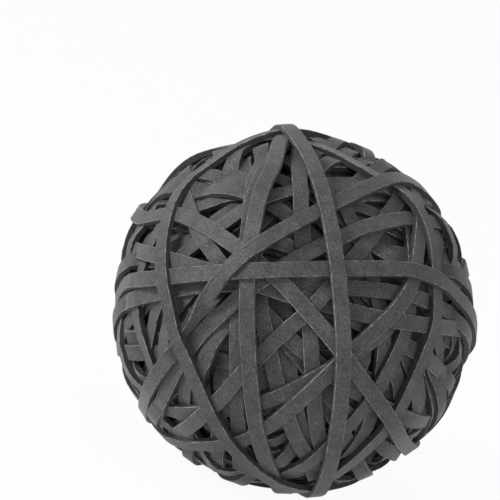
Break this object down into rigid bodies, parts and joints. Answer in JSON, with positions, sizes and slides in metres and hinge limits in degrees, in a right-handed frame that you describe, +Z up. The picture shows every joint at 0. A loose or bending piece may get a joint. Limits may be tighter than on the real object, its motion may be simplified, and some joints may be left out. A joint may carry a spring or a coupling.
{
  "type": "rubber band ball",
  "caption": "Ball wound from flat rubber bands that are stretched round it one over another.",
  "frame": {"origin": "on the ground under the middle of the ball as it rests on its bands", "axes": "+Z up; the side that faced the camera in the picture faces -Y, tipped up by about 16 degrees"},
  "size_m": [0.0728, 0.072, 0.0707],
  "materials": {
    "rubber": "matt dark grey rubber"
  },
  "bodies": {
    "root": {"inner_windings": "rubber", "band_01": "rubber", "band_02": "rubber", "band_03": "rubber", "band_04": "rubber", "band_05": "rubber", "band_06": "rubber", "band_07": "rubber", "band_08": "rubber", "band_09": "rubber", "band_10": "rubber", "band_11": "rubber", "band_12": "rubber", "band_13": "rubber", "band_14": "rubber", "band_15": "rubber", "band_16": "rubber", "band_17": "rubber", "band_18": "rubber", "band_19": "rubber", "band_20": "rubber", "band_21": "rubber", "band_22": "rubber", "band_23": "rubber", "band_24": "rubber", "band_25": "rubber", "band_26": "rubber", "band_27": "rubber", "band_28": "rubber", "band_29": "rubber", "band_30": "rubber", "band_31": "rubber", "band_32": "rubber", "band_33": "rubber", "band_34": "rubber", "band_35": "rubber"}
  },
  "joints": []
}
